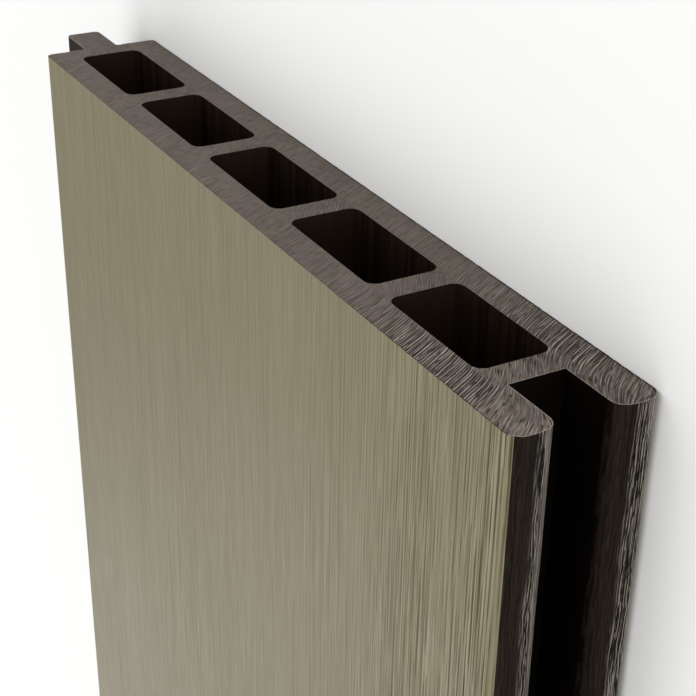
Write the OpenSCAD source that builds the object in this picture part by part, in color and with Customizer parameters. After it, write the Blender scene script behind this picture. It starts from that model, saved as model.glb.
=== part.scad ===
// Hollow tongue-and-groove fence board, extruded in one piece from wood-plastic
// composite and sawn square at both ends.
//
// The board lies flat on its back face with its brushed front face up and its length
// along X. The grooved edge faces -Y and the tongue faces +Y. The origin is at the
// middle of the footprint, on the plane that the back face rests on.

/* [Board] */
// Length between the two sawn ends
board_length = 1780; // [300:10:4000]
// Width that the board covers in a fence, from its lip tips to its shoulders
cover_width = 150; // [130:1:220]
// Thickness from the back face to the front face
thickness = 21; // [19:0.5:26]
// Radius of the shoulder edges on the tongue side
shoulder_radius = 1; // [0.4:0.1:2]

/* [Chambers] */
// Number of chambers that run through the board
chamber_count = 5; // [3:1:6]
// Thickness of the front wall over the chambers
front_wall = 5; // [4:0.1:6]
// Thickness of the back wall under the chambers
back_wall = 5; // [4:0.1:6]
// Thickness of the webs between chambers
web_thickness = 4.3; // [3:0.1:6]
// Thickness of the wall between the tongue side and its nearest chamber
shoulder_wall = 4.3; // [3:0.1:8]
// Thickness of the wall between the groove and its nearest chamber
groove_wall = 4.3; // [3:0.1:8]
// Width of the narrow chamber beside the groove
narrow_chamber_width = 21; // [12:0.5:26]
// Corner radius of every chamber
chamber_radius = 1.7; // [0.5:0.1:3]

/* [Groove] */
// Clear width of the groove between its two lips
groove_width = 8.2; // [6:0.1:9.5]
// Depth of the groove, measured from the lip tips
groove_depth = 10.4; // [8:0.1:14]
// Corner radius of the lip tips
lip_radius = 2.1; // [1:0.1:2.3]
// Radius of the slight crown across each lip tip
lip_crown_radius = 8; // [8:0.5:20]

/* [Tongue] */
// Play on each face of the tongue when it stands in a groove
tongue_side_play = 1; // [0.3:0.1:1.2]
// Play between the end of the tongue and the bottom of a groove
tongue_end_play = 0.8; // [0.3:0.1:2]
// Corner radius of the tongue's end
tongue_radius = 1; // [0.3:0.1:1.5]

/* [Hidden] */
$fn = 96;

tongue_length = groove_depth - tongue_end_play;
tongue_thickness = groove_width - 2 * tongue_side_play;
overall_width = cover_width + tongue_length;
lip_thickness = (thickness - groove_width) / 2;

// Stations across the board, from the groove at -Y to the tongue at +Y
tip_y = -overall_width / 2;
groove_bottom_y = tip_y + groove_depth;
shoulder_y = tip_y + cover_width;
tongue_tip_y = overall_width / 2;

chamber_height = thickness - front_wall - back_wall;
chamber_room = shoulder_y - shoulder_wall - groove_bottom_y - groove_wall;
wide_chamber_width =
    (chamber_room - narrow_chamber_width - (chamber_count - 1) * web_thickness)
    / (chamber_count - 1);

// A tip's crown touches both corner arcs from outside, so its centre lies this far
// inside theirs, and their centres lie lip_setback inside the tip.
corner_half_spacing = lip_thickness / 2 - lip_radius;
crown_offset = sqrt(pow(lip_crown_radius - lip_radius, 2) - pow(corner_half_spacing, 2));
lip_setback = lip_crown_radius - crown_offset;

// Rectangle from the origin with four round corners
module round_rect(size, radius) {
    translate([radius, 0]) square([size[0] - 2 * radius, size[1]]);
    translate([0, radius]) square([size[0], size[1] - 2 * radius]);
    for (y = [radius, size[0] - radius], z = [radius, size[1] - radius])
        translate([y, z]) circle(radius);
}

// One groove lip, from its crowned tip to the body of the board
module lip() {
    root = groove_bottom_y + groove_wall / 2;
    corner_y = tip_y + lip_setback;
    reach = 2 * lip_setback / crown_offset;
    translate([corner_y, 0]) square([root - corner_y, lip_thickness]);
    for (side = [-1, 1])
        translate([corner_y, lip_thickness / 2 + side * corner_half_spacing]) circle(lip_radius);
    translate([corner_y + crown_offset, lip_thickness / 2]) intersection() {
        circle(lip_crown_radius);
        polygon([
            [0, 0],
            [-crown_offset * (1 + reach), corner_half_spacing * (1 + reach)],
            [-crown_offset * (1 + reach), -corner_half_spacing * (1 + reach)]
        ]);
    }
}

// Body of the board between the bottom of the groove and the shoulders
module body() {
    plain = shoulder_radius;
    translate([groove_bottom_y, 0]) square([cover_width - groove_depth - plain, thickness]);
    translate([groove_bottom_y, plain])
        square([cover_width - groove_depth, thickness - 2 * plain]);
    for (z = [plain, thickness - plain])
        translate([shoulder_y - plain, z]) circle(shoulder_radius);
}

// Tongue, rooted in the shoulder wall and rounded at its free end
module tongue() {
    root = shoulder_wall / 2;
    translate([shoulder_y - root, (thickness - tongue_thickness) / 2])
        round_rect([tongue_length + root, tongue_thickness], tongue_radius);
}

// Row of chambers: the narrow one beside the groove, then the equal wide ones
module chambers() {
    pitch = wide_chamber_width + web_thickness;
    first_y = groove_bottom_y + groove_wall;
    translate([first_y, back_wall])
        round_rect([narrow_chamber_width, chamber_height], chamber_radius);
    for (i = [0 : chamber_count - 2])
        translate([first_y + narrow_chamber_width + web_thickness + i * pitch, back_wall])
            round_rect([wide_chamber_width, chamber_height], chamber_radius);
}

// Cross-section, drawn with Y to the right and Z up
module section() {
    difference() {
        union() {
            body();
            lip();
            translate([0, thickness - lip_thickness]) lip();
            tongue();
        }
        chambers();
    }
}

// The whole board: one extruded piece
module fence_board() {
    color([0.56, 0.54, 0.47])
        translate([-board_length / 2, 0, 0])
            rotate([90, 0, 90])
                linear_extrude(height = board_length)
                    section();
}

fence_board();
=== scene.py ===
"""Looks of a hollow tongue-and-groove fence board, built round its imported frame.

The board lies flat with its brushed front face up and its length along X. All lengths
here are in metres, in the frame's own axes. The cross-section is drawn in Y and Z.
"""

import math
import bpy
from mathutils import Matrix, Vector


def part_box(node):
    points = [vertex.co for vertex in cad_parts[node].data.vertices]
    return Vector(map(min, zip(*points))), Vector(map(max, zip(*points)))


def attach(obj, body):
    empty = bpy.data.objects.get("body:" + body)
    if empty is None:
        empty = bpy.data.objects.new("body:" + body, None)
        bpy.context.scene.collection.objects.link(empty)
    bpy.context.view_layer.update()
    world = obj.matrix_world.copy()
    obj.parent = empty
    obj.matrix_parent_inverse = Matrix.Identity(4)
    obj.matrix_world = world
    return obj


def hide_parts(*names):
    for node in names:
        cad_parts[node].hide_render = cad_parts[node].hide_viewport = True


bl_info = {
    "name": "Fence board looks",
    "version": (1, 0, 0),
    "blender": (4, 5, 0),
    "location": "3D View > Sidebar > Fence board",
    "description": "Builds the brushed composite board, its sawn ends and a pale studio",
    "category": "Object",
}

import bpy
import numpy as np
from mathutils import Matrix, Vector

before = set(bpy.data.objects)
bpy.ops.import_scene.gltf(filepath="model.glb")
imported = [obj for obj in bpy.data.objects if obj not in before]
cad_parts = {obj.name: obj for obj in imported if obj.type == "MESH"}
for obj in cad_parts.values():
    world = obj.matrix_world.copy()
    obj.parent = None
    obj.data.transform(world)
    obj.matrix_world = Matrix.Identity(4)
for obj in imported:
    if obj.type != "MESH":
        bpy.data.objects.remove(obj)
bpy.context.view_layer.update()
NODE = "fence_board"
MM = 0.001
LOW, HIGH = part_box(NODE)

# Material slots of the board's mesh
BRUSHED, SAWN, RAW = 0, 1, 2

# Every fourth column and row of the fine mesh carries on into the coarse one
STRIDE = 4


class BoardSizes(bpy.types.PropertyGroup):
    """Sizes of the cross-section, and how finely the board is meshed"""

    length: bpy.props.FloatProperty(
        name="Length", description="Length between the sawn ends",
        default=HIGH.x - LOW.x, unit="LENGTH")
    thickness: bpy.props.FloatProperty(
        name="Thickness", description="From the back face to the front face",
        default=HIGH.z - LOW.z, unit="LENGTH")
    tongue_tip: bpy.props.FloatProperty(
        name="Tongue tip", description="Y of the tongue's end",
        default=HIGH.y, unit="LENGTH")
    cover_width: bpy.props.FloatProperty(
        name="Cover width", description="From the lip tips to the shoulders",
        default=150 * MM, unit="LENGTH")
    shoulder_radius: bpy.props.FloatProperty(
        name="Shoulder radius", description="Round edges on the tongue side",
        default=1 * MM, unit="LENGTH")
    face_wall: bpy.props.FloatProperty(
        name="Face wall", description="Wall between a chamber and either face",
        default=5 * MM, unit="LENGTH")
    web: bpy.props.FloatProperty(
        name="Web", description="Wall between chambers and at both edges",
        default=4.3 * MM, unit="LENGTH")
    narrow_chamber: bpy.props.FloatProperty(
        name="Narrow chamber", description="Width of the chamber beside the groove",
        default=21 * MM, unit="LENGTH")
    chamber_count: bpy.props.IntProperty(
        name="Chambers", description="Number of hollow chambers", default=5, min=2)
    chamber_radius: bpy.props.FloatProperty(
        name="Chamber radius", description="Corner radius of the chambers",
        default=1.7 * MM, unit="LENGTH")
    groove_width: bpy.props.FloatProperty(
        name="Groove width", description="Clear width between the lips",
        default=8.2 * MM, unit="LENGTH")
    groove_depth: bpy.props.FloatProperty(
        name="Groove depth", description="From the lip tips to the groove's bottom",
        default=10.4 * MM, unit="LENGTH")
    lip_radius: bpy.props.FloatProperty(
        name="Lip radius", description="Corner radius of the lip tips",
        default=2.1 * MM, unit="LENGTH")
    lip_crown: bpy.props.FloatProperty(
        name="Lip crown", description="Radius of the crown across a lip tip",
        default=8 * MM, unit="LENGTH")
    tongue_thickness: bpy.props.FloatProperty(
        name="Tongue thickness", description="Between the tongue's two faces",
        default=6.2 * MM, unit="LENGTH")
    tongue_radius: bpy.props.FloatProperty(
        name="Tongue radius", description="Corner radius of the tongue's end",
        default=1 * MM, unit="LENGTH")
    fine_length: bpy.props.FloatProperty(
        name="Fine length", description="Stretch beside the near end with the fine mesh",
        default=170 * MM, unit="LENGTH")


class BoardRelief(bpy.types.PropertyGroup):
    """Depths of the fine relief that is modelled in the mesh"""

    brush: bpy.props.FloatProperty(
        name="Brush lines", description="Depth of the brush lines on the faces",
        default=0.012 * MM, unit="LENGTH")
    wrinkle: bpy.props.FloatProperty(
        name="Lip wrinkles", description="Depth of the wrinkles along the lips",
        default=0.09 * MM, unit="LENGTH")
    saw: bpy.props.FloatProperty(
        name="Saw marks", description="Depth of the torn marks on the sawn ends",
        default=0.03 * MM, unit="LENGTH")
    chip: bpy.props.FloatProperty(
        name="Chipped edge", description="Depth of the chips along a sawn end's edge",
        default=0.06 * MM, unit="LENGTH")


class BoardFinish(bpy.types.PropertyGroup):
    """Colours of the composite, as linear values"""

    face: bpy.props.FloatVectorProperty(
        name="Brushed face", description="Greige of the brushed faces",
        default=(0.189, 0.165, 0.098), subtype="COLOR")
    face_dark: bpy.props.FloatVectorProperty(
        name="Brush groove", description="Olive brown at the bottom of a brush line",
        default=(0.061, 0.051, 0.018), subtype="COLOR")
    face_light: bpy.props.FloatVectorProperty(
        name="Brush ridge", description="Pale fibre between two brush lines",
        default=(0.32, 0.292, 0.195), subtype="COLOR")
    sawn: bpy.props.FloatVectorProperty(
        name="Sawn end", description="Warm grey of the sawn ends",
        default=(0.145, 0.119, 0.101), subtype="COLOR")
    sawn_dark: bpy.props.FloatVectorProperty(
        name="Saw mark", description="Brown at the bottom of a saw mark",
        default=(0.012, 0.007, 0.004), subtype="COLOR")
    sawn_light: bpy.props.FloatVectorProperty(
        name="Torn fibre", description="Pale torn fibre of the sawn ends",
        default=(0.37, 0.32, 0.28), subtype="COLOR")
    sawn_mauve: bpy.props.FloatVectorProperty(
        name="Mauve blotch", description="Cooler blotches of the sawn ends",
        default=(0.175, 0.132, 0.125), subtype="COLOR")
    sawn_olive: bpy.props.FloatVectorProperty(
        name="Olive blotch", description="Greener blotches of the sawn ends",
        default=(0.16, 0.145, 0.105), subtype="COLOR")
    raw: bpy.props.FloatVectorProperty(
        name="Extruded skin", description="Dark brown of lips, groove and chambers",
        default=(0.0095, 0.0056, 0.0036), subtype="COLOR")
    # Painted highlight: this grey stands in for the pale surroundings glancing off the wrinkles on the
    # lips
    painted_skin_highlight: bpy.props.FloatVectorProperty(
        name="Painted skin highlight", description="Grey painted highlight on the lip wrinkles",
        default=(0.27, 0.238, 0.202), subtype="COLOR")
    floor: bpy.props.FloatVectorProperty(
        name="Floor", description="Pale studio floor",
        default=(0.9, 0.9, 0.89), subtype="COLOR")


class StudioSettings(bpy.types.PropertyGroup):
    """Camera and lights of the studio"""

    camera_place: bpy.props.FloatVectorProperty(
        name="Camera", description="Place of the camera",
        default=(0.97764, -0.19296, 0.10627), unit="LENGTH")
    camera_aim: bpy.props.FloatVectorProperty(
        name="Aim", description="Point on the front face in the picture's centre",
        default=(0.88374, -0.04325, 0.021), unit="LENGTH")
    camera_roll: bpy.props.FloatProperty(
        name="Roll", description="Turn about the view's axis, from the board's length upright",
        default=math.radians(-1.03), unit="ROTATION")
    focal_length: bpy.props.FloatProperty(
        name="Focal length", description="In millimetres, on a 36 mm sensor", default=79.05)
    ambient: bpy.props.FloatProperty(
        name="Ambient", description="Strength of the even light from all round", default=0.6)
    key_power: bpy.props.FloatProperty(
        name="Key light", description="Overhead softbox, in watts", default=60)
    back_power: bpy.props.FloatProperty(
        name="Back light", description="Low softbox behind the tongue, in watts", default=150)
    end_power: bpy.props.FloatProperty(
        name="End light", description="Softbox beyond the near end, in watts", default=119)
    front_power: bpy.props.FloatProperty(
        name="Front light", description="Low softbox before the groove, in watts", default=188)


def smoothstep(low, high, value):
    """0 below low, 1 above high, and a smooth cubic between them."""
    t = np.clip((value - low) / (high - low), 0, 1)
    return t * t * (3 - 2 * t)


def value_noise(u, v, seed):
    """Smooth noise from -1 to 1: random values at whole u and v, blended by a cubic."""
    table = np.random.default_rng(seed).uniform(-1, 1, (256, 256))
    cell_u, cell_v = np.floor(u).astype(int), np.floor(v).astype(int)
    part_u, part_v = smoothstep(0, 1, u - cell_u), smoothstep(0, 1, v - cell_v)

    def at(step_u, step_v):
        return table[(cell_u + step_u) % 256, (cell_v + step_v) % 256]

    near = at(0, 0) * (1 - part_u) + at(1, 0) * part_u
    far = at(0, 1) * (1 - part_u) + at(1, 1) * part_u
    return near * (1 - part_v) + far * part_v


def arc(centre, radius, start, end, count):
    """Points of a round arc and their outward normals; angles in radians from +Y."""
    angle = np.linspace(start, end, count + 1)
    normals = np.stack([np.cos(angle), np.sin(angle)], 1)
    return np.array(centre) + radius * normals, normals


def straight(start, end, count, normal):
    """Evenly spaced points of a straight stretch, with one normal."""
    t = np.linspace(0, 1, count + 1)[:, None]
    points = (1 - t) * np.array(start) + t * np.array(end)
    return points, np.tile(np.array(normal, float), (count + 1, 1))


def joined(*runs):
    """Several runs end to end as one: each run drops its last point but the last run."""
    points = [run[0][:-1] for run in runs[:-1]] + [runs[-1][0]]
    normals = [run[1][:-1] for run in runs[:-1]] + [runs[-1][1]]
    return np.concatenate(points), np.concatenate(normals)


def turned(run):
    """The same run from its last point to its first."""
    return run[0][::-1], run[1][::-1]


class Section:
    """The cross-section as runs of points, shared by the skin and by the sawn ends."""

    # Columns along each run, all multiples of STRIDE
    CORNER, CROWN, LIP, GROOVE, WALL = 16, 12, 20, 16, 4
    FRONT, BACK, WEB = 64, 40, 40
    SHOULDER_ARC, SHOULDER, TONGUE_ARC, TONGUE_END, TONGUE = 4, 8, 8, 8, 12
    RING = 12

    def __init__(self, s):
        self.sizes = s
        self.top = s.thickness
        self.lip = (s.thickness - s.groove_width) / 2
        tongue_length = HIGH.y - LOW.y - s.cover_width
        self.shoulder = s.tongue_tip - tongue_length
        self.tip = self.shoulder - s.cover_width
        self.groove_bottom = self.tip + s.groove_depth
        half_spacing = self.lip / 2 - s.lip_radius
        self.crown_offset = math.sqrt((s.lip_crown - s.lip_radius) ** 2 - half_spacing**2)
        self.crown_angle = math.atan2(half_spacing, self.crown_offset)
        self.corner = self.tip + s.lip_crown - self.crown_offset
        first = self.groove_bottom + s.web
        count = s.chamber_count - 1
        room = self.shoulder - s.web - first - s.narrow_chamber
        wide = (room - count * s.web) / count
        self.chambers = [(first, first + s.narrow_chamber)]
        for i in range(count):
            low = first + s.narrow_chamber + s.web + i * (wide + s.web)
            self.chambers.append((low, low + wide))
        walls = [0.5 * (a[1] + b[0]) for a, b in zip(self.chambers, self.chambers[1:])]
        self.cells = [self.groove_bottom + s.web / 2] + walls

    def mirrored(self, run):
        """A run of the back half as the matching run of the front half, same direction."""
        points, normals = run
        return points * (1, -1) + (0, self.top), normals * (1, -1)

    def back_lip_end(self):
        """The back lip's tip, from the back face round to the groove: arc, crown, arc."""
        s = self.sizes
        a = self.crown_angle
        outer = arc((self.corner, s.lip_radius), s.lip_radius,
                    1.5 * math.pi, math.pi + a, self.CORNER)
        crown = arc((self.corner + self.crown_offset, self.lip / 2), s.lip_crown,
                    math.pi + a, math.pi - a, self.CROWN)
        inner = arc((self.corner, self.lip - s.lip_radius), s.lip_radius,
                    math.pi - a, 0.5 * math.pi, self.CORNER)
        return joined(outer, crown, inner)

    def lower_groove_wall(self):
        """The back lip's face in the groove, from its tip to the groove's bottom."""
        return straight((self.corner, self.lip), (self.groove_bottom, self.lip),
                        self.LIP, (0, 1))

    def groove_floor(self):
        """The groove's bottom, from the back lip up to the front lip."""
        return straight((self.groove_bottom, self.lip),
                        (self.groove_bottom, self.top - self.lip), self.GROOVE, (-1, 0))

    def face(self, z, normal_z, per_cell):
        """A brushed face from the lip's corner to the shoulder's, with a stop at each cell."""
        stops = [self.corner, self.groove_bottom] + self.cells
        stops.append(self.shoulder - self.sizes.shoulder_radius)
        counts = [self.LIP, self.WALL] + [per_cell] * len(self.cells)
        runs = [straight((a, z), (b, z), n, (0, normal_z))
                for a, b, n in zip(stops, stops[1:], counts)]
        return joined(*runs)

    def back_shoulder(self):
        """The back shoulder: its round edge, then up to the tongue."""
        r = self.sizes.shoulder_radius
        edge = arc((self.shoulder - r, r), r, -0.5 * math.pi, 0, self.SHOULDER_ARC)
        flat = straight((self.shoulder, r), (self.shoulder, self.tongue_low()),
                        self.SHOULDER, (1, 0))
        return joined(edge, flat)

    def tongue_low(self):
        """Height of the tongue's back face."""
        return (self.top - self.sizes.tongue_thickness) / 2

    def tongue_back(self):
        """The tongue's back face, from the shoulder to its end."""
        z = self.tongue_low()
        end = self.sizes.tongue_tip - self.sizes.tongue_radius
        return straight((self.shoulder, z), (end, z), self.TONGUE, (0, -1))

    def tongue_end(self):
        """The tongue's end with its two round corners, from back to front."""
        s = self.sizes
        r = s.tongue_radius
        y, low = s.tongue_tip - r, self.tongue_low()
        high = self.top - low
        lower = arc((y, low + r), r, -0.5 * math.pi, 0, self.TONGUE_ARC)
        flat = straight((s.tongue_tip, low + r), (s.tongue_tip, high - r),
                        self.TONGUE_END, (1, 0))
        upper = arc((y, high - r), r, 0, 0.5 * math.pi, self.TONGUE_ARC)
        return joined(lower, flat, upper)

    def outline(self):
        """The closed outer outline, anticlockwise with Y to the right and Z up.

        Returns points, normals, and a weight that is 1 on faces, lips and shoulders
        and 0 in the groove and on the tongue.
        """
        lip = self.back_lip_end()
        wall = self.lower_groove_wall()
        runs = [
            (self.face(0, -1, self.BACK), 1),
            (self.back_shoulder(), 1),
            (self.tongue_back(), 0),
            (self.tongue_end(), 0),
            (turned(self.mirrored(self.tongue_back())), 0),
            (turned(self.mirrored(self.back_shoulder())), 1),
            (turned(self.face(self.top, 1, self.FRONT)), 1),
            (self.mirrored(lip), 1),
            (self.mirrored(wall), 0),
            (turned(self.groove_floor()), 0),
            (turned(wall), 0),
            (turned(lip), 1),
        ]
        points = np.concatenate([run[0][:-1] for run, _ in runs])
        normals = np.concatenate([run[1][:-1] for run, _ in runs])
        weight = np.concatenate([np.full(len(run[0]) - 1, w) for run, w in runs])
        return points, normals, weight

    def cell_ring(self, index):
        """Outline of one chamber's cell and of its chamber, point for point.

        The cell is the rectangle between the middles of its webs, from back to front;
        the first cell's left side and the last one's right side follow the real edge.
        Each cell point is scaled towards the chamber's middle onto the chamber's
        rectangle, and then pulled onto the corner arc where it lies in a corner.
        """
        low = self.cells[index]
        last = index == len(self.cells) - 1
        right = self.shoulder - self.sizes.shoulder_radius if last else self.cells[index + 1]
        bottom, _ = straight((low, 0), (right, 0), self.BACK, (0, -1))
        top, _ = straight((right, self.top), (low, self.top), self.FRONT, (0, 1))
        if last:
            back = self.back_shoulder()
            root = self.tongue_root()
            side, _ = joined(back, root, turned(self.mirrored(back)))
        else:
            side, _ = straight((right, 0), (right, self.top), self.WEB, (1, 0))
        if index == 0:
            left = self.groove_side_rows()[::-1]
            left = np.stack([np.full(len(left), low), left], 1)
        else:
            left, _ = straight((low, self.top), (low, 0), self.WEB, (-1, 0))
        outer = np.concatenate([bottom[:-1], side[:-1], top[:-1], left])
        return outer, self.onto_chamber(outer, index)

    def onto_chamber(self, outer, index):
        """Each point of a cell's outline moved onto the chamber's outline."""
        s = self.sizes
        edge = self.shoulder if index == len(self.cells) - 1 else self.cells[index + 1]
        cell_low = np.array([self.cells[index], 0])
        cell_high = np.array([edge, self.top])
        low = np.array([self.chambers[index][0], s.face_wall])
        high = np.array([self.chambers[index][1], self.top - s.face_wall])
        unit = 2 * (outer - cell_low) / (cell_high - cell_low) - 1
        unit /= np.abs(unit).max(1, keepdims=True)
        points = (low + high) / 2 + unit * (high - low) / 2
        core = np.clip(points, low + s.chamber_radius, high - s.chamber_radius)
        away = points - core
        distance = np.linalg.norm(away, axis=1, keepdims=True)
        return core + away * s.chamber_radius / distance

    def tongue_root(self):
        """The tongue's root on the shoulder, with the rows of its end."""
        rows = self.tongue_end()[0][:, 1]
        low, high = rows[0], rows[-1]
        rows = np.linspace(low, high, len(rows))
        points = np.stack([np.full(len(rows), self.shoulder), rows], 1)
        return points, np.tile([1.0, 0.0], (len(rows), 1))

    def groove_side_rows(self):
        """Heights of the rows that cross the board beside the groove, from back to front."""
        lip = np.linspace(0, self.lip, 2 * self.CORNER + self.CROWN + 1)
        groove = self.groove_floor()[0][:, 1]
        return np.concatenate([lip[:-1], groove[:-1], self.top - lip[::-1]])

    def end_patches(self):
        """Grids of (y, z) points that tile a sawn end, rows along Z and columns along Y.

        The lips and the tongue are ruled between their tip outline and their root, the
        groove wall is a plain grid, and each cell is ruled from its outline to its
        chamber, with the outline as the columns.
        """
        along = np.linspace(0, 1, self.LIP + 1)[None, :, None]
        tip = self.back_lip_end()[0]
        rows = np.linspace(0, self.lip, len(tip))
        root = np.stack([np.full(len(rows), self.groove_bottom), rows], 1)
        back_lip = tip[:, None] * (1 - along) + root[:, None] * along
        front_lip = (back_lip * (1, -1) + (0, self.top))[::-1]
        rows = self.groove_side_rows()
        columns = np.linspace(self.groove_bottom, self.cells[0], self.WALL + 1)
        wall = np.stack(np.meshgrid(columns, rows), 2)
        along = np.linspace(0, 1, self.TONGUE + 1)[None, :, None]
        tongue = self.tongue_root()[0][:, None] * (1 - along) + self.tongue_end()[0][:, None] * along
        patches = [back_lip, front_lip, wall, tongue]
        for index in range(len(self.cells)):
            outer, inner = self.cell_ring(index)
            depth = np.linspace(0, 1, self.RING + 1)[:, None, None]
            patches.append(outer[None] * (1 - depth) + inner[None] * depth)
        return patches


class MeshParts:
    """Collects grids of points and their faces, and welds them into one closed mesh."""

    def __init__(self):
        self.points, self.normals, self.edges, self.faces, self.slots = [], [], [], [], []
        self.count = 0

    def add_points(self, points, normals, edge):
        """Adds an array of points; returns their numbers.

        normals are the section's, and edge is the distance to the sawn end's arris.
        """
        shape = points.shape[:-1]
        numbers = self.count + np.arange(points[..., 0].size).reshape(shape)
        self.points.append(points.reshape(-1, 3))
        self.normals.append(np.broadcast_to(normals, points.shape).reshape(-1, 3))
        self.edges.append(np.broadcast_to(edge, shape).ravel())
        self.count += numbers.size
        return numbers

    def add_faces(self, corners, slot, turn=False):
        """Adds faces from equal arrays of corner numbers, one for each corner."""
        faces = np.stack([c.ravel() for c in corners], 1)
        self.faces.append(faces[:, ::-1] if turn else faces)
        self.slots.append(np.broadcast_to(slot, corners[0].shape).ravel())

    def add_grid(self, numbers, slot, turn=False):
        """Adds the quads of a grid of point numbers."""
        corners = (numbers[:-1, :-1], numbers[:-1, 1:], numbers[1:, 1:], numbers[1:, :-1])
        self.add_faces(corners, slot, turn)

    def weld(self):
        """Merges points that share a place.

        A merged point adds up its normals and keeps its largest distance to the arris.
        """
        points = np.concatenate(self.points)
        keys = np.round(points / (0.0002 * MM)).astype(np.int64)
        _, first, where = np.unique(keys, axis=0, return_index=True, return_inverse=True)
        where = where.ravel()
        normals = np.zeros((len(first), 3))
        np.add.at(normals, where, np.concatenate(self.normals))
        size = np.linalg.norm(normals, axis=1, keepdims=True)
        edges = np.zeros(len(first))
        np.maximum.at(edges, where, np.concatenate(self.edges))
        self.points, self.edges = points[first], edges
        self.normals = normals / np.maximum(size, 1e-9)
        self.faces = [where[f] for f in self.faces]


def closed(columns):
    """A row of columns with its first one repeated at the end."""
    return np.concatenate([columns, columns[..., :1]], -1)


def sweep(parts, loop, normals, slots, far_rows, near_rows, turn=False):
    """Carries a closed loop of section points along X, coarse first and then fine.

    Point (row, column) is the loop's point at that row's X. The far rows use every
    fourth column, and fans of triangles join them to the first fine row.
    """

    def band(rows, step):
        shape = (len(rows), len(loop[::step]))
        points = np.empty(shape + (3,))
        points[..., 0] = rows[:, None]
        points[..., 1:] = loop[None, ::step]
        way = np.zeros(shape + (3,))
        way[..., 1:] = normals[None, ::step]
        edge = np.minimum(near_rows[-1] - rows, rows - far_rows[0])
        return closed(parts.add_points(points, way, edge[:, None]))

    far, near = band(far_rows, STRIDE), band(near_rows, 1)
    parts.add_grid(far, slots[None, ::STRIDE], turn)
    parts.add_grid(near, slots[None, :], turn)
    start, end, half = far[-1, :-1], far[-1, 1:], STRIDE // 2
    seam = [near[0, STRIDE - k : len(loop) + 1 - k : STRIDE] for k in range(STRIDE + 1)]
    parts.add_faces([start, end, seam[half]], slots[::STRIDE], turn)
    for k in range(STRIDE):
        corner = end if k < half else start
        parts.add_faces([corner, seam[k], seam[k + 1]], slots[::STRIDE], turn)


def row_places(sizes):
    """X of the coarse rows and of the fine rows, both growing tighter towards their end."""
    near_end, far_end = sizes.length / 2, -sizes.length / 2
    growth = 3.4
    t = np.linspace(1, 0, 73)
    fine = near_end - sizes.fine_length * np.expm1(growth * t) / math.expm1(growth)
    split = fine[0]
    t = np.linspace(0, 1, 41)
    coarse = far_end + (split - 12 * MM - far_end) * t**1.6
    return coarse, fine


def outline_distance(grid, outline):
    """Distance of each point of a grid to the closed outline, segment by segment.

    The nearest point of a segment is its start plus the clamped share of its length
    that the point projects to.
    """
    start = outline
    reach = np.roll(outline, -1, 0) - start
    away = grid[..., None, :] - start
    share = np.clip((away * reach).sum(-1) / (reach**2).sum(-1), 0, 1)
    gap = away - share[..., None] * reach
    return np.sqrt((gap**2).sum(-1).min(-1))


def board_parts(section):
    """The board's undistorted mesh: outer skin, chamber walls and both sawn ends."""
    parts = MeshParts()
    far_rows, near_rows = row_places(section.sizes)
    points, normals, weight = section.outline()
    middle = section.top / 2
    outward = normals[:, 1] * np.sign(points[:, 1] - middle)
    facing = (outward + np.roll(outward, -1)) / 2
    brushed = (weight > 0) & (np.roll(weight, -1) > 0) & (facing > math.sqrt(0.5))
    sweep(parts, points, normals * weight[:, None], np.where(brushed, BRUSHED, RAW),
          far_rows, near_rows)
    for index in range(len(section.cells)):
        inner = section.cell_ring(index)[1][:-1]
        slots = np.full(len(inner), RAW)
        sweep(parts, inner, np.zeros_like(inner), slots,
              far_rows[:: STRIDE * 2], near_rows[:: STRIDE * 2], turn=True)
    for patch in section.end_patches():
        edge = outline_distance(patch, points)
        for x, step, turn in ((near_rows[-1], 1, False), (far_rows[0], STRIDE, True)):
            flat = patch[::step, ::step]
            grid = np.concatenate([np.full(flat.shape[:2] + (1,), x), flat], 2)
            numbers = parts.add_points(grid, np.zeros(3), edge[::step, ::step])
            parts.add_grid(numbers, SAWN, turn)
    parts.weld()
    return parts


# Saw marks in the section, in millimetres: how far a mark runs sideways for each
# millimetre of height near the faces, and how much further in the middle between them;
# half the height of that middle, and over what height the two blend
SAW_RUN, SAW_RUN_MIDDLE = 0.53, 0.9
SAW_MIDDLE, SAW_MIDDLE_BLEND = 5.0, 3.0
# Distance from the shoulder where the lips begin, by what share the marks lie flatter
# there, and over what distance
SAW_LIPS_FROM, SAW_LIPS_SHARE, SAW_LIPS_BLEND = 141.5, 0.35, 3.0


def smooth_low(first, second, blend):
    """The lower of two values, rounded off by a cubic where they are nearly equal."""
    nearness = np.maximum(blend - np.abs(first - second), 0) / blend
    return np.minimum(first, second) - nearness**3 * blend / 6


def saw_coordinate(y, z, section):
    """A value that is the same all along a saw mark, in millimetres.

    Sideways run times height, plus more run in the middle between the faces, minus the
    distance from the shoulder, which counts for less in the lips.
    """
    across = (section.shoulder - y) / MM
    height = (z - section.top / 2) / MM
    middle = smooth_low(height, SAW_MIDDLE, SAW_MIDDLE_BLEND)
    middle = -smooth_low(-middle, SAW_MIDDLE, SAW_MIDDLE_BLEND)
    in_lips = -smooth_low(SAW_LIPS_FROM - across, 0, SAW_LIPS_BLEND)
    return SAW_RUN * height + SAW_RUN_MIDDLE * middle - across + SAW_LIPS_SHARE * in_lips


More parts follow.
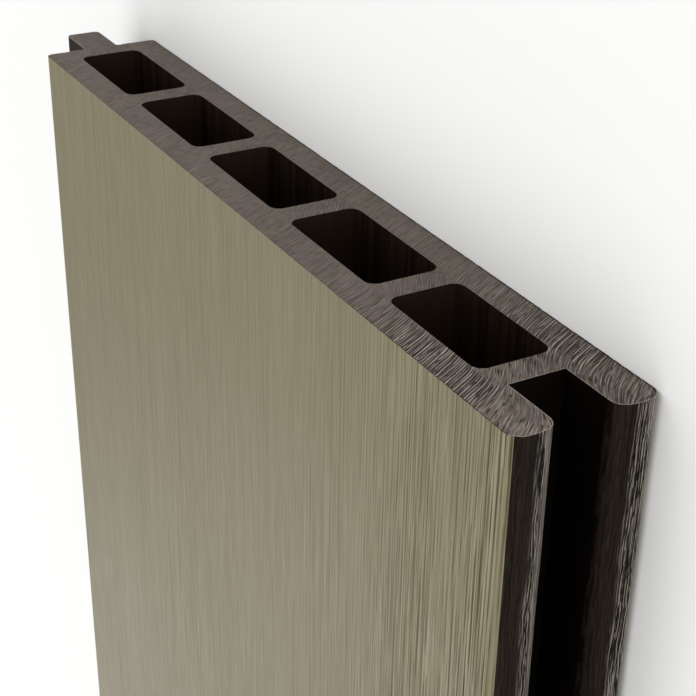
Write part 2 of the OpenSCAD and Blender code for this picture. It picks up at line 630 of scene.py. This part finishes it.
def relieved(parts, section, relief):
    """The points moved inwards by the brush lines, wrinkles, saw marks and chips.

    Every term is noise drawn out along its own direction and times its own depth.
    """
    points, normals = parts.points, parts.normals
    x, y, z = points.T / MM
    from_end = section.sizes.length / MM / 2 - np.abs(x)
    lines = (0.5 * value_noise(y / 0.9, x / 38, 1) + 0.3 * value_noise(y / 2.1, x / 90, 2)
             + 0.2 * value_noise(y / 5.5, x / 160, 3))
    on_face = smoothstep(0.55, 0.9, np.abs(normals[:, 2]))
    brush = relief.brush * (0.5 + 0.5 * lines) * on_face
    turn = np.arctan2(normals[:, 2], -normals[:, 1])
    crown = np.clip(turn, -section.crown_angle, section.crown_angle)
    around = (crown * section.sizes.lip_crown + (turn - crown) * section.sizes.lip_radius) / MM
    around = around + 0.4 * value_noise(x / 2.6, around / 1.4, 4)
    around = around + np.where(z > section.top / MM / 2, 40, 0)
    folds = 0.6 * value_noise(around / 0.45, x / 8, 5) + 0.4 * value_noise(around / 0.9, x / 6, 6)
    on_lip = smoothstep(0.3, 0.8, -normals[:, 1])
    wrinkle = relief.wrinkle * (0.5 + 0.5 * folds) * on_lip
    depth = smoothstep(0, 0.8, from_end) * (brush + wrinkle)
    moved = points - normals * depth[:, None]
    mark = saw_coordinate(points[:, 1], points[:, 2], section)
    torn = (0.6 * value_noise(mark / 1.1, (y + z) / 5, 7)
            + 0.4 * value_noise(mark / 0.6, (y - z) / 3, 8))
    at_end = from_end < 1e-3
    on_edge = at_end & (np.abs(normals).sum(1) > 0)
    chips = smoothstep(0.1, 0.9, value_noise(mark / 0.8, y / 0.7, 9))
    bite = relief.saw * (0.5 + 0.5 * torn) + relief.chip * chips * on_edge
    moved[:, 0] -= np.sign(x) * np.where(at_end, bite, 0)
    return moved


def mesh_from(name, points, parts):
    """A smooth-shaded mesh with sharp edges at its corners.

    Its faces come in groups of equal corner count, and from_edge holds each point's
    distance to the sawn end's arris in millimetres.
    """
    faces = parts.faces
    mesh = bpy.data.meshes.new(name)
    sizes = np.concatenate([np.full(len(f), f.shape[1]) for f in faces])
    corners = np.concatenate([f.ravel() for f in faces])
    mesh.vertices.add(len(points))
    mesh.vertices.foreach_set("co", points.astype(np.float32).ravel())
    mesh.loops.add(len(corners))
    mesh.loops.foreach_set("vertex_index", corners.astype(np.int32))
    mesh.polygons.add(len(sizes))
    starts = np.concatenate([[0], np.cumsum(sizes)[:-1]])
    mesh.polygons.foreach_set("loop_start", starts.astype(np.int32))
    mesh.polygons.foreach_set("loop_total", sizes.astype(np.int32))
    mesh.polygons.foreach_set("material_index", np.concatenate(parts.slots).astype(np.int32))
    mesh.polygons.foreach_set("use_smooth", np.ones(len(sizes), bool))
    mesh.update(calc_edges=True)
    if mesh.validate():
        raise RuntimeError(f"{name}: the mesh had faces that had to be mended")
    distance = mesh.attributes.new("from_edge", "FLOAT", "POINT")
    distance.data.foreach_set("value", (parts.edges / MM).astype(np.float32))
    mesh.set_sharp_from_angle(angle=math.radians(40))
    return mesh


def shaped(tree, kind, settings=None, **inputs):
    """Adds a shader node; settings are its properties, inputs its values or links.

    Underscores in an input's name stand for spaces, and a name of the form i0 is the
    input's number. An input that is itself a socket is linked.
    """
    node = tree.nodes.new(kind)
    for key, value in (settings or {}).items():
        setattr(node, key, value)
    for key, value in inputs.items():
        numbered = key[0] == "i" and key[1:].isdigit()
        socket = node.inputs[int(key[1:])] if numbered else node.inputs[key.replace("_", " ")]
        if isinstance(value, bpy.types.NodeSocket):
            tree.links.new(value, socket)
        else:
            socket.default_value = value
    return node


def math_node(tree, operation, *values):
    """A math node's output for the given values or sockets."""
    inputs = {f"i{i}": v for i, v in enumerate(values)}
    return shaped(tree, "ShaderNodeMath", {"operation": operation}, **inputs).outputs[0]


def streaks(tree, place, periods, detail=2.0, shift=0.0):
    """Noise from 0 to 1 stretched along the axes: periods are in millimetres."""
    scale = tuple(1 / (p * MM) for p in periods)
    spot = shaped(tree, "ShaderNodeMapping", None, Vector=place, Scale=scale,
                  Location=(shift, shift * 0.7, shift * 0.3))
    noise = shaped(tree, "ShaderNodeTexNoise", None, Vector=spot.outputs[0], Scale=1.0,
                   Detail=detail, Roughness=0.55)
    return noise.outputs["Fac"]


def window(tree, value, low, high):
    """0 below low, 1 above high, smooth between."""
    node = shaped(tree, "ShaderNodeMapRange", {"interpolation_type": "SMOOTHSTEP"},
                  i0=value, i1=low, i2=high, i3=0.0, i4=1.0)
    return node.outputs[0]


def mixed(tree, fac, first, second):
    """The colour fac of the way from first to second."""
    node = shaped(tree, "ShaderNodeMix", {"data_type": "RGBA"})
    for socket, value in zip((node.inputs[0], node.inputs[6], node.inputs[7]),
                             (fac, first, second)):
        if isinstance(value, bpy.types.NodeSocket):
            tree.links.new(value, socket)
        else:
            socket.default_value = value
    return node.outputs[2]


def product(tree, *values):
    """The product of two or more values or sockets."""
    result = values[0]
    for value in values[1:]:
        result = math_node(tree, "MULTIPLY", result, value)
    return result


def weighted(tree, *terms):
    """The sum of pairs of a socket and its weight."""
    result = 0.0
    for socket, weight in terms:
        result = math_node(tree, "MULTIPLY_ADD", socket, weight, result)
    return result


def scaled(colour, factor):
    """A colour property made darker or lighter, with alpha."""
    return (*(min(factor * c, 1.0) for c in colour), 1.0)


def opaque(colour):
    """A colour property as red, green, blue and alpha."""
    return (*colour, 1.0)


def new_material(name):
    """An empty node material with its Principled shader, and the object's coordinates."""
    material = bpy.data.materials.new(name)
    material.use_nodes = True
    tree = material.node_tree
    shader = tree.nodes["Principled BSDF"]
    place = tree.nodes.new("ShaderNodeTexCoord").outputs["Object"]
    return material, tree, shader, place


def surface(tree, shader, colour, roughness, height, depth):
    """Links colour, roughness and a bump of the given depth in metres to the shader."""
    tree.links.new(colour, shader.inputs["Base Color"])
    tree.links.new(roughness, shader.inputs["Roughness"])
    bump = shaped(tree, "ShaderNodeBump", None, Height=height, Distance=depth, Strength=1.0)
    tree.links.new(bump.outputs[0], shader.inputs["Normal"])


def between(tree, fac, low, high):
    """A plain number fac of the way from low to high."""
    return shaped(tree, "ShaderNodeMapRange", None, i0=fac, i1=0.0, i2=1.0, i3=low, i4=high).outputs[0]


def arris(tree, low, high):
    """1 at the edge between skin and sawn end, 0 from high millimetres away from it."""
    distance = shaped(tree, "ShaderNodeAttribute", {"attribute_name": "from_edge"}).outputs["Fac"]
    return window(tree, distance, high, low)


def brushed_material(finish, section):
    """Brushed face: thin straight brush lines that come and go, and pale fibres.

    A line is noise drawn far out along the length and cut by a threshold, times a
    shorter noise that lets it fade in and out. The lines are deeper towards the groove.
    """
    material, tree, shader, place = new_material("brushed_composite")

    def comb(period, run, shift):
        wander = streaks(tree, place, (60, 3, 3), 1.0, shift)
        phase = weighted(tree, (side, 2 * math.pi / (period * MM)), (wander, 12.0))
        line = window(tree, math_node(tree, "COSINE", phase), 0.1, 0.85)
        gate = streaks(tree, place, (run, 0.5, 0.5), 1.0, shift + 2.3)
        return product(tree, line, window(tree, gate, 0.38, 0.54))

    def strays(period, length, run, shift):
        line = window(tree, streaks(tree, place, (length, period, period), 1.0, shift), 0.5, 0.6)
        gate = streaks(tree, place, (run, 3 * period, 3 * period), 1.0, shift + 2.3)
        return product(tree, line, window(tree, gate, 0.42, 0.6))

    side = shaped(tree, "ShaderNodeSeparateXYZ", None, Vector=place).outputs[1]
    broad = streaks(tree, place, (240, 9, 9))
    middle = streaks(tree, place, (90, 1.3, 1.3), 1.0, 3.1)
    fine = streaks(tree, place, (45, 0.26, 0.26), 1.0, 7.7)
    long_line, short_line = comb(0.92, 14, 11.3), comb(0.64, 9, 13.9)
    stray, fibre = strays(0.3, 90, 16, 15.1), strays(0.28, 50, 12, 17.9)
    worn_side = window(tree, side, section.chambers[1][1], section.corner)
    crowd = window(tree, streaks(tree, place, (70, 10, 10), 1.0, 9.1), 0.3, 0.6)
    bite = product(tree, between(tree, crowd, 0.6, 1.0),
                   between(tree, math_node(tree, "POWER", worn_side, 3.0), 0.25, 1.0))
    tone = weighted(tree, (broad, 0.2), (middle, 0.15), (fine, 0.65))
    contrast = product(tree, math_node(tree, "SUBTRACT", window(tree, fine, 0.34, 0.66), 0.5), bite)
    colour = mixed(tree, math_node(tree, "ADD", contrast, 0.5), scaled(finish.face, 0.65),
                   scaled(finish.face, 1.35))
    shade = window(tree, weighted(tree, (broad, 0.5), (middle, 0.5)), 0.34, 0.66)
    colour = mixed(tree, product(tree, shade, 0.15), colour, scaled(finish.face, 1.25))
    colour = mixed(tree, product(tree, fibre, bite, 0.6), colour, opaque(finish.face_light))
    cut = product(tree, weighted(tree, (long_line, 0.5), (short_line, 0.62), (stray, 0.28)), bite)
    # Darker along the face's edge at the sawn end
    arris_dark = product(tree, arris(tree, 0.04, 0.12), 0.4)
    colour = mixed(tree, math_node(tree, "MAXIMUM", cut, arris_dark), colour, opaque(finish.face_dark))
    height = weighted(tree, (tone, 0.5), (fibre, 0.3), (cut, -1.0))
    roughness = between(tree, cut, between(tree, tone, 0.56, 0.4), 1.0)
    surface(tree, shader, colour, roughness, height, 0.06 * MM)
    shader.inputs["Specular IOR Level"].default_value = 0.21
    return material


def sawn_material(finish, section):
    """Sawn end: torn marks along the saw lines, with pale fibres between them.

    The lines follow the same saw coordinate as the mesh. Near the faces a mark is a
    cosine across the lines plus noise drawn out along them, cut by a threshold. In the
    webs and lips the marks are finer and fainter, with a few dark dashes.
    """
    material, tree, shader, place = new_material("sawn_composite")
    axes = shaped(tree, "ShaderNodeSeparateXYZ", None, Vector=place).outputs
    across = math_node(tree, "MULTIPLY_ADD", axes[1], -1 / MM, section.shoulder / MM)
    height = math_node(tree, "MULTIPLY_ADD", axes[2], 1 / MM, -section.top / MM / 2)
    middle = math_node(tree, "SMOOTH_MIN", height, SAW_MIDDLE, SAW_MIDDLE_BLEND)
    middle = math_node(tree, "SMOOTH_MAX", middle, -SAW_MIDDLE, SAW_MIDDLE_BLEND)
    in_lips = math_node(tree, "SUBTRACT", across, SAW_LIPS_FROM)
    in_lips = math_node(tree, "SMOOTH_MAX", in_lips, 0.0, SAW_LIPS_BLEND)
    mark = weighted(tree, (height, SAW_RUN), (middle, SAW_RUN_MIDDLE), (across, -1.0),
                    (in_lips, SAW_LIPS_SHARE))
    along = weighted(tree, (height, 1.0), (across, SAW_RUN))
    lines = shaped(tree, "ShaderNodeCombineXYZ", None, X=mark, Y=along).outputs[0]

    def marks(period, length, detail, shift):
        spot = shaped(tree, "ShaderNodeMapping", None, Vector=lines,
                      Scale=(1 / period, 1 / length, 1.0), Location=(shift, shift, 0.0))
        return shaped(tree, "ShaderNodeTexNoise", {"noise_dimensions": "2D"},
                      Vector=spot.outputs[0], Scale=1.0, Detail=detail, Roughness=0.55).outputs["Fac"]

    from_middle = math_node(tree, "ABSOLUTE", height)
    patch = streaks(tree, place, (50, 8, 8), 1.0, 2.0)
    blotch = streaks(tree, place, (50, 2.6, 2.6), 1.0, 21.0)
    uneven = math_node(tree, "MULTIPLY_ADD", blotch, 2.4, -1.2)
    web = window(tree, math_node(tree, "ADD", from_middle, uneven), 6.0, 4.8)
    lip = window(tree, math_node(tree, "ADD", across, uneven), 139.5, 142.5)
    at_front = window(tree, height, -2.0, 2.0)
    calm = math_node(tree, "MAXIMUM", web, product(tree, lip, between(tree, at_front, 0.75, 1.0)))
    deep = window(tree, math_node(tree, "MULTIPLY_ADD", height, 0.3, across), 104.0, 137.0)

    def comb(period, shift):
        wander = marks(2.4, 9.0, 1.0, shift)
        phase = weighted(tree, (mark, 2 * math.pi / period), (wander, 8.0))
        return math_node(tree, "COSINE", phase)

    coarse_comb, fine_comb = comb(0.72, 3.0), comb(0.43, 63.0)
    broken = marks(0.3, 16.0, 1.0, 9.0)
    fine = marks(0.17, 5.0, 1.0, 15.0)
    gate = between(tree, window(tree, marks(0.9, 5.0, 1.0, 45.0), 0.36, 0.5), 0.5, 1.0)
    tear = product(tree, window(tree, coarse_comb, 0.4, 0.85), gate)
    gate = between(tree, window(tree, marks(0.7, 4.0, 1.0, 51.0), 0.37, 0.5), 0.35, 1.0)
    thin = product(tree, window(tree, fine_comb, 0.25, 0.8), gate)
    tear = math_node(tree, "MAXIMUM", tear, product(tree, thin, 0.9))
    tear = product(tree, tear, between(tree, window(tree, patch, 0.3, 0.62), 0.85, 1.0),
                   between(tree, deep, 0.16, 1.0))
    faint = product(tree, window(tree, fine, 0.5, 0.62), between(tree, deep, 0.5, 1.0),
                    between(tree, at_front, 0.75, 0.42))
    tear = between(tree, calm, tear, faint)
    dash = window(tree, marks(0.2, 2.4, 0.0, 27.0), 0.68, 0.74)
    tear = math_node(tree, "MAXIMUM", tear, product(tree, dash, between(tree, deep, 0.3, 0.85)))
    fibre = weighted(tree, (fine_comb, -0.12), (marks(0.2, 10.0, 1.0, 33.0), 1.0))
    fibre = product(tree, window(tree, fibre, 0.5, 0.64), between(tree, deep, 0.2, 1.0))
    pale = product(tree, window(tree, marks(0.18, 3.4, 1.0, 39.0), 0.5, 0.64),
                   between(tree, deep, 0.25, 0.6))
    fibre = between(tree, calm, fibre, pale)
    tone = weighted(tree, (broken, 0.25), (fine, 0.5), (patch, 0.25))
    colour = mixed(tree, window(tree, tone, 0.34, 0.66), scaled(finish.sawn, 0.82),
                   scaled(finish.sawn, 1.18))
    unmarked = product(tree, math_node(tree, "SUBTRACT", 1.0, deep), 0.24)
    colour = mixed(tree, unmarked, colour, scaled(finish.sawn, 0.35))
    colour = mixed(tree, product(tree, window(tree, blotch, 0.54, 0.66), 0.35), colour,
                   opaque(finish.sawn_mauve))
    colour = mixed(tree, product(tree, window(tree, blotch, 0.46, 0.34), 0.35), colour,
                   opaque(finish.sawn_olive))
    colour = mixed(tree, product(tree, fibre, 0.9), colour, opaque(finish.sawn_light))
    colour = mixed(tree, tear, colour, opaque(finish.sawn_dark))
    half = section.top / MM / 2
    rim = arris(tree, 0.06, 0.16)
    at_face = window(tree, from_middle, half - 0.35, half - 0.2)
    # Noise that breaks the darker line along the edge
    rim_breaks = window(tree, streaks(tree, place, (50, 1.1, 1.1), 2.0, 6.0), 0.36, 0.48)
    near_tip = product(tree, window(tree, across, 145.0, 147.5), -1.5)
    at_back = window(tree, math_node(tree, "ADD", height, near_tip), 0.6 - half, 0.3 - half)
    at_back = product(tree, arris(tree, 0.15, 0.32), at_back)
    # Darker broken line along the sawn end's edge at the front face and along the back face
    dark_rim = product(tree, rim, at_face, between(tree, rim_breaks, 0.15, 0.9),
                       between(tree, deep, 0.5, 1.0))
    dark_rim = math_node(tree, "MAXIMUM", dark_rim, product(tree, at_back, 0.9))
    # Pale line along the sawn end's edge away from the front and back faces: partly torn fibre, partly
    # a painted edge highlight
    fibre_and_highlight_rim = product(tree, rim, math_node(tree, "SUBTRACT", 1.0, at_face))
    colour = mixed(tree, dark_rim, colour, opaque(finish.sawn_dark))
    colour = mixed(tree, product(tree, fibre_and_highlight_rim, 0.7), colour, opaque(finish.sawn_light))
    relief = weighted(tree, (tone, 0.6), (fibre, 0.4), (tear, -1.0))
    surface(tree, shader, colour, between(tree, tone, 0.85, 0.65), relief, 0.1 * MM)
    shader.inputs["Specular IOR Level"].default_value = 0.12
    return material


def raw_material(finish, section):
    """Extruded skin of lips, groove, tongue and chambers: dark, drawn along the length.

    Bark-like folds lie on the lower half of each lip's tip, with painted highlights on their ridges
    and painted shade between them.
    """
    material, tree, shader, place = new_material("raw_composite")
    drawn = streaks(tree, place, (60, 1.4, 1.4), 2.0, 1.0)
    fold = streaks(tree, place, (11.0, 0.2, 0.2), 1.5, 8.0)
    axes = shaped(tree, "ShaderNodeSeparateXYZ", None, Vector=place).outputs

    def crease(period, run, shift, turn):
        wander = streaks(tree, place, (6.0, 1.6, 1.6), 3.0, shift)
        phase = weighted(tree, (axes[2], 2 * math.pi / (period * MM)), (wander, 18.0))
        wave = math_node(tree, "COSINE", math_node(tree, "ADD", phase, turn))
        gate = streaks(tree, place, (run, 0.6, 0.6), 1.0, shift + turn)
        return product(tree, window(tree, wave, 0.0, 0.6), window(tree, gate, 0.38, 0.46))

    at_tip = window(tree, axes[1], section.corner + 0.5 * MM, section.corner)
    above = math_node(tree, "MODULO", axes[2], section.top - section.lip)
    spread = streaks(tree, place, (9, 3, 3), 1.0, 2.0)
    above = math_node(tree, "MULTIPLY_ADD", spread, 1.6 * MM, above)
    at_front = window(tree, axes[2], section.lip, section.top - section.lip)
    # Painted highlight: bands on the lower half of each lip's tip, where the wrinkles stand in for
    # catching pale light from below
    front_highlight_zone = product(tree, window(tree, above, 4.15 * MM, 3.15 * MM),
                         window(tree, above, 1.8 * MM, 2.9 * MM))
    back_highlight_zone = product(tree, window(tree, above, 5.0 * MM, 3.9 * MM),
                        window(tree, above, 1.0 * MM, 2.1 * MM))
    painted_highlight_zone = product(tree, at_tip, between(tree, at_front, back_highlight_zone, front_highlight_zone))
    # Painted highlight: a pale strip along the lower edge of each lip's tip
    painted_strip_highlight = product(tree, at_tip, window(tree, above, 3.3 * MM, 1.9 * MM))
    # Painted highlights on the crease ridges, and painted shade in the gaps between them
    ridge = math_node(tree, "MAXIMUM", crease(0.55, 6.0, 19.0, 1.8), crease(0.38, 5.0, 23.0, 1.8))
    gap = math_node(tree, "MAXIMUM", crease(0.55, 9.0, 19.0, 0.0), crease(0.38, 6.0, 23.0, 0.0))
    # Faint painted highlight along the crease ridges over the whole tip
    faint_painted_highlight = product(tree, ridge, at_tip, 0.11)
    rest = math_node(tree, "MAXIMUM", product(tree, painted_strip_highlight, 0.55), product(tree, at_tip, 0.35))
    gap = product(tree, gap, math_node(tree, "MAXIMUM", painted_highlight_zone, rest))
    ridge = product(tree, ridge, painted_highlight_zone, 0.85)
    # Painted shade: darkens the groove's walls and bottom, from the lip corners to the groove's bottom
    painted_groove_shade = product(tree, window(tree, axes[1], section.corner - 1.4 * MM, section.corner),
                     window(tree, axes[1], section.groove_bottom + 1 * MM, section.groove_bottom))
    soft = streaks(tree, place, (25, 0.7, 0.7), 1.0, 31.0)
    colour = mixed(tree, window(tree, weighted(tree, (drawn, 0.6), (soft, 0.4)), 0.35, 0.65),
                   scaled(finish.raw, 0.6), scaled(finish.raw, 1.9))
    # Painted light: skin made lighter in the middle of the board's height from the first chamber on,
    # lighting the chamber webs and also the tongue and shoulders
    chamber = window(tree, axes[1], section.chambers[0][0] - 1 * MM, section.chambers[0][0])
    from_middle = math_node(tree, "SUBTRACT", axes[2], section.top / 2)
    from_middle = math_node(tree, "ABSOLUTE", from_middle)
    painted_light_band = window(tree, from_middle, 5.4 * MM, 4.2 * MM)
    colour = mixed(tree, product(tree, chamber, painted_light_band, 0.75), colour, scaled(finish.raw, 2.6))
    # Painted shade inside the groove
    colour = mixed(tree, painted_groove_shade, colour, scaled(finish.raw, 0.3))
    # Painted light on the lip tips: grey over the band, faint ridge highlights, the pale strip
    # (brighter on the back lip) and the ridge highlights
    colour = mixed(tree, product(tree, painted_highlight_zone, 0.4), colour, scaled(finish.painted_skin_highlight, 0.22))
    colour = mixed(tree, faint_painted_highlight, colour, scaled(finish.painted_skin_highlight, 0.3))
    colour = mixed(tree, painted_strip_highlight, colour, mixed(tree, at_front, scaled(finish.painted_skin_highlight, 1.4),
                                              scaled(finish.painted_skin_highlight, 0.68)))
    colour = mixed(tree, ridge, colour, opaque(finish.painted_skin_highlight))
    # Painted shade in the crease gaps
    colour = mixed(tree, gap, colour, scaled(finish.raw, 0.5))
    height = weighted(tree, (drawn, 0.25), (product(tree, fold, painted_highlight_zone), 1.0), (gap, -0.5))
    surface(tree, shader, colour, between(tree, drawn, 0.45, 0.6), height, 0.14 * MM)
    shader.inputs["Specular IOR Level"].default_value = 0.04
    return material


def floor_material(finish):
    """Plain pale matt floor with a faint cloudiness."""
    material, tree, shader, place = new_material("pale_floor")
    cloud = streaks(tree, place, (900, 900, 900))
    dim = tuple(0.985 * c for c in finish.floor)
    colour = mixed(tree, cloud, opaque(dim), opaque(finish.floor))
    tree.links.new(colour, shader.inputs["Base Color"])
    shader.inputs["Roughness"].default_value = 0.8
    return material


class FENCEBOARD_OT_board(bpy.types.Operator):
    """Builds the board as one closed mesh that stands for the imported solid"""

    bl_idname = "fence_board.build_board"
    bl_label = "Build board"

    def execute(self, context):
        scene = context.scene
        section = Section(scene.fence_board_sizes)
        parts = board_parts(section)
        points = relieved(parts, section, scene.fence_board_relief)
        mesh = mesh_from("board", points, parts)
        finish = scene.fence_board_finish
        for material in (brushed_material(finish, section), sawn_material(finish, section),
                         raw_material(finish, section)):
            mesh.materials.append(material)
        board = bpy.data.objects.new("board", mesh)
        scene.collection.objects.link(board)
        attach(board, "root")
        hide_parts(NODE)
        return {"FINISHED"}


def add_camera(scene, studio):
    """Places the camera at the photograph's angle, the board's length upright in view."""
    place, aim = Vector(studio.camera_place), Vector(studio.camera_aim)
    ahead = (aim - place).normalized()
    right = ahead.cross(Vector((1, 0, 0))).normalized()
    up = right.cross(ahead)
    turn = Matrix.Rotation(studio.camera_roll, 3, ahead)
    right, up = turn @ right, turn @ up
    data = bpy.data.cameras.new("camera")
    data.sensor_width = 36
    data.lens = studio.focal_length
    data.clip_start, data.clip_end = 1 * MM, 50
    camera = bpy.data.objects.new("camera", data)
    axes = Matrix((right, up, -ahead)).transposed()
    camera.matrix_world = Matrix.Translation(place) @ axes.to_4x4()
    scene.collection.objects.link(camera)
    scene.camera = camera


def add_softbox(scene, name, place, aim, size, power):
    """A rectangular area light at place that faces aim."""
    data = bpy.data.lights.new(name, "AREA")
    data.shape = "RECTANGLE"
    data.size, data.size_y = size
    data.energy = power
    light = bpy.data.objects.new(name, data)
    light.location = place
    light.rotation_euler = (Vector(aim) - Vector(place)).to_track_quat("-Z", "Y").to_euler()
    scene.collection.objects.link(light)


class FENCEBOARD_OT_stage(bpy.types.Operator):
    """Adds the pale floor, the soft lights and the camera"""

    bl_idname = "fence_board.build_stage"
    bl_label = "Build stage"

    def execute(self, context):
        scene = context.scene
        studio = scene.fence_board_studio
        reach = 20.0
        corners = [(-reach, -reach, 0), (reach, -reach, 0), (reach, reach, 0), (-reach, reach, 0)]
        mesh = bpy.data.meshes.new("floor")
        mesh.from_pydata([(x, y, -0.05 * MM) for x, y, _ in corners], [], [(0, 1, 2, 3)])
        mesh.materials.append(floor_material(scene.fence_board_finish))
        floor = bpy.data.objects.new("floor", mesh)
        scene.collection.objects.link(floor)
        world = bpy.data.worlds.new("studio")
        world.use_nodes = True
        world.node_tree.nodes["Background"].inputs["Color"].default_value = (1, 1, 1, 1)
        world.node_tree.nodes["Background"].inputs["Strength"].default_value = studio.ambient
        scene.world = world
        add_softbox(scene, "overhead_softbox", (0.4, 0, 3), (0.4, 0, 0), (5, 3.4),
                    studio.key_power)
        add_softbox(scene, "back_softbox", (-7.3, 7.4, 2.5), (0.85, 0, 0), (5.5, 4),
                    studio.back_power)
        add_softbox(scene, "end_softbox", (9.2, 1.9, 5.0), (0.85, 0, 0), (7.5, 5),
                    studio.end_power)
        add_softbox(scene, "front_softbox", (2.7, -10, 3.25), (0.85, 0, 0), (7.5, 4),
                    studio.front_power)
        add_camera(scene, studio)
        scene.view_settings.view_transform = "Standard"
        return {"FINISHED"}


class FENCEBOARD_PT_panel(bpy.types.Panel):
    """Lists the sizes, colours and operators of the board"""

    bl_label = "Fence board"
    bl_space_type = "VIEW_3D"
    bl_region_type = "UI"
    bl_category = "Fence board"

    def draw(self, context):
        for operator in OPERATORS:
            self.layout.operator(operator.bl_idname)
        for name, _ in GROUPS:
            group = getattr(context.scene, name)
            box = self.layout.box()
            for key in group.__annotations__:
                box.prop(group, key)


GROUPS = (
    ("fence_board_sizes", BoardSizes),
    ("fence_board_relief", BoardRelief),
    ("fence_board_finish", BoardFinish),
    ("fence_board_studio", StudioSettings),
)
OPERATORS = (FENCEBOARD_OT_board, FENCEBOARD_OT_stage)


def register():
    """Registers the property groups, operators and panel."""
    for name, group in GROUPS:
        bpy.utils.register_class(group)
        setattr(bpy.types.Scene, name, bpy.props.PointerProperty(type=group))
    for cls in (*OPERATORS, FENCEBOARD_PT_panel):
        bpy.utils.register_class(cls)


def unregister():
    """Removes what register added."""
    for cls in (FENCEBOARD_PT_panel, *OPERATORS):
        bpy.utils.unregister_class(cls)
    for name, group in GROUPS:
        delattr(bpy.types.Scene, name)
        bpy.utils.unregister_class(group)


def main():
    register()
    bpy.ops.fence_board.build_board()
    bpy.ops.fence_board.build_stage()


if __name__ == "__main__":
    main()
